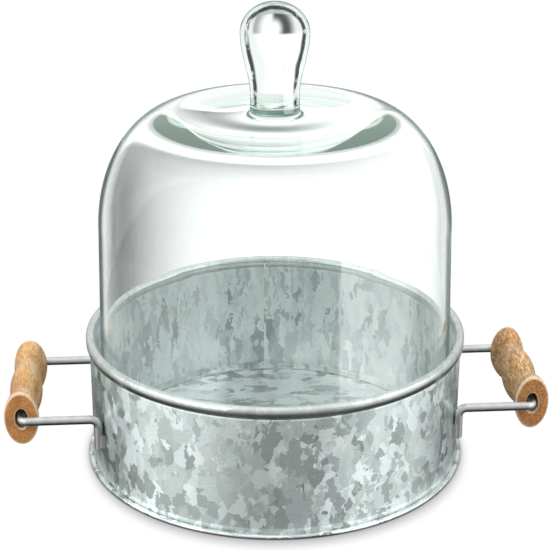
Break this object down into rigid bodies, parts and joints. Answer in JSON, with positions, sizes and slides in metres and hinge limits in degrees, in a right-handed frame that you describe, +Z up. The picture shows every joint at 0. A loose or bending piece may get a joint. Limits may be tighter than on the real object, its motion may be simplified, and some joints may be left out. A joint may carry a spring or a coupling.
{
  "type": "cheese dome",
  "caption": "Clear glass bell dome with a solid glass knob, standing inside a round galvanised steel tray with rolled rim and wood-gripped wire handles.",
  "frame": {"origin": "centre of the tray's base, on the table plane", "axes": "+Z up along the axis of the tray and dome, X through the two handles, the front towards -Y"},
  "size_m": [0.3178, 0.226, 0.272],
  "materials": {
    "galvanised_sheet": "zinc spangle, satin",
    "steel_wire": "bright satin",
    "grip_wood": "oiled, fine grain",
    "clear_glass": "polished, faint green tint in the thick places"
  },
  "bodies": {
    "tray": {"tray_wall": "galvanised_sheet", "tray_floor": "galvanised_sheet", "rim_wire": "steel_wire", "left_handle_wire": "steel_wire", "right_handle_wire": "steel_wire", "left_welds": "steel_wire", "right_welds": "steel_wire"},
    "left_grip": {"left_grip": "grip_wood"},
    "right_grip": {"right_grip": "grip_wood"},
    "dome": {"glass_dome": "clear_glass", "dome_knob": "clear_glass"}
  },
  "joints": [
    {"name": "dome_lift", "type": "slide", "parent": "tray", "child": "dome", "axis": [0, 0, 1], "range_m": [0, 0.3]},
    {"name": "left_grip_spin", "type": "hinge", "parent": "tray", "child": "left_grip", "pos_m": [-0.149, 0, 0.0403], "axis": [0, 1, 0], "continuous": true},
    {"name": "right_grip_spin", "type": "hinge", "parent": "tray", "child": "right_grip", "pos_m": [0.149, 0, 0.0403], "axis": [0, 1, 0], "continuous": true}
  ]
}
